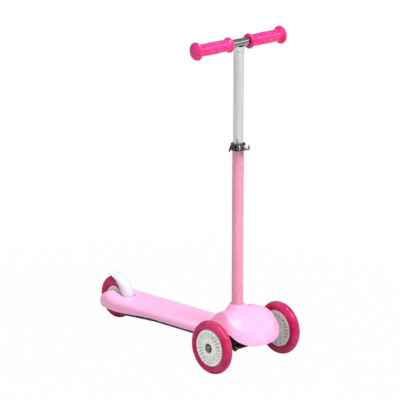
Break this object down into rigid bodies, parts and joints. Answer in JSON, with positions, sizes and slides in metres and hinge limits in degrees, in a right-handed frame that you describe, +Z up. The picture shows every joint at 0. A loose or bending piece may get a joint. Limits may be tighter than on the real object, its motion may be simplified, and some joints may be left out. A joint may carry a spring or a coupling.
{
  "type": "three wheel kids scooter",
  "caption": "Child's lean-to-steer kick scooter with two front wheels, one rear wheel, a foot brake and a telescopic T-bar.",
  "frame": {"origin": "middle of the footprint, on the ground between the three tyres", "axes": "+Z up, front towards -Y, rider's left towards +X"},
  "size_m": [0.2582, 0.551, 0.7389],
  "materials": {
    "tyre_red": "cast polyurethane, glossy",
    "hub_white": "moulded, satin",
    "deck_pink": "moulded, satin",
    "nose_pink": "moulded, satin",
    "tube_pink": "powder coat, satin",
    "grip_pink": "moulded, ribbed",
    "fender_white": "moulded, satin",
    "black_plastic": "glass-filled, matte",
    "tube_silver": "anodised, satin",
    "chrome": "polished",
    "steel": "zinc plated",
    "spring_steel": "oiled",
    "nylon": "natural nylon"
  },
  "bodies": {
    "chassis": {"deck_shell": "deck_pink", "under_tray": "black_plastic", "tray_screw_1": "steel", "tray_screw_2": "steel", "tray_screw_3": "steel", "tray_screw_4": "steel", "truck_housing": "black_plastic", "nose_cover": "nose_pink", "cover_screw": "steel", "kingpin_left": "steel", "kingpin_right": "steel", "kingpin_nut_left": "steel", "kingpin_nut_right": "steel", "steer_spring_left": "spring_steel", "steer_spring_right": "spring_steel", "lower_tube": "tube_pink", "column_bolt": "steel", "column_nut": "steel", "clamp_collar": "black_plastic", "clamp_skewer": "steel", "clamp_cam_washer": "nylon", "clamp_steel_washer": "chrome", "rear_axle_bolt": "steel", "rear_axle_nut": "steel", "rear_arm_spacer_left": "steel", "rear_arm_spacer_right": "steel", "brake_hinge_pin": "steel", "brake_spring": "spring_steel"},
    "knuckle_left": {"knuckle_left": "black_plastic", "front_left_axle_bolt": "steel", "tie_pin_left": "steel"},
    "knuckle_right": {"knuckle_right": "black_plastic", "front_right_axle_bolt": "steel", "tie_pin_right": "steel"},
    "tie_rod": {"tie_rod": "black_plastic"},
    "wheel_front_left": {"front_left_tyre": "tyre_red", "front_left_hub": "hub_white", "front_left_bearing_left": "steel", "front_left_bearing_right": "steel", "front_left_spacer": "steel"},
    "wheel_front_right": {"front_right_tyre": "tyre_red", "front_right_hub": "hub_white", "front_right_bearing_left": "steel", "front_right_bearing_right": "steel", "front_right_spacer": "steel"},
    "wheel_rear": {"rear_tyre": "tyre_red", "rear_hub": "hub_white", "rear_bearing_left": "steel", "rear_bearing_right": "steel", "rear_spacer": "steel"},
    "brake": {"brake_fender": "fender_white", "brake_pad": "steel"},
    "handlebar": {"upper_tube": "tube_silver", "slide_guide": "nylon", "bar_tube": "chrome", "grip_left": "grip_pink", "grip_right": "grip_pink"},
    "clamp_lever": {"clamp_lever": "black_plastic", "clamp_cam_pin": "steel"},
    "clamp_nut": {"clamp_thumb_nut": "steel"}
  },
  "joints": [
    {"name": "steer_left", "type": "hinge", "parent": "chassis", "child": "knuckle_left", "pos_m": [0.048, -0.2105, 0.06], "axis": [0, -0.6428, 0.766], "range_deg": [-15, 15], "stiffness_Nm_per_rad": 12},
    {"name": "steer_right", "type": "hinge", "parent": "chassis", "child": "knuckle_right", "pos_m": [-0.048, -0.2105, 0.06], "axis": [0, -0.6428, 0.766], "range_deg": [-15, 15], "stiffness_Nm_per_rad": 12},
    {"name": "tie_rod_swing", "type": "hinge", "parent": "knuckle_left", "child": "tie_rod", "pos_m": [0.048, -0.22999, 0.05056], "axis": [0, -0.6428, 0.766], "range_deg": [-15, 15]},
    {"name": "wheel_front_left_spin", "type": "hinge", "parent": "knuckle_left", "child": "wheel_front_left", "pos_m": [0.102, -0.2105, 0.06], "axis": [1, 0, 0], "continuous": true},
    {"name": "wheel_front_right_spin", "type": "hinge", "parent": "knuckle_right", "child": "wheel_front_right", "pos_m": [-0.102, -0.2105, 0.06], "axis": [1, 0, 0], "continuous": true},
    {"name": "wheel_rear_spin", "type": "hinge", "parent": "chassis", "child": "wheel_rear", "pos_m": [0, 0.2255, 0.05], "axis": [1, 0, 0], "continuous": true},
    {"name": "brake_press", "type": "hinge", "parent": "chassis", "child": "brake", "pos_m": [0, 0.171, 0.05], "axis": [-1, 0, 0], "range_deg": [0, 1.6], "stiffness_Nm_per_rad": 1.5, "springref_deg": -20.05},
    {"name": "bar_height", "type": "slide", "parent": "chassis", "child": "handlebar", "axis": [0, 0, 1], "range_m": [-0.18, 0.04]},
    {"name": "clamp_lever_open", "type": "hinge", "parent": "chassis", "child": "clamp_lever", "pos_m": [-0.02014, -0.19748, 0.49155], "axis": [-0.4226, -0.9063, 0], "range_deg": [0, 80]},
    {"name": "clamp_nut_turn", "type": "hinge", "parent": "chassis", "child": "clamp_nut", "pos_m": [-0.00972, -0.20234, 0.49155], "axis": [0.9063, -0.4226, 0], "range_deg": [-180, 180]}
  ],
  "couplings": [
    {"joint": "steer_right", "follows": "steer_left", "ratio": 1},
    {"joint": "tie_rod_swing", "follows": "steer_left", "ratio": -1}
  ]
}
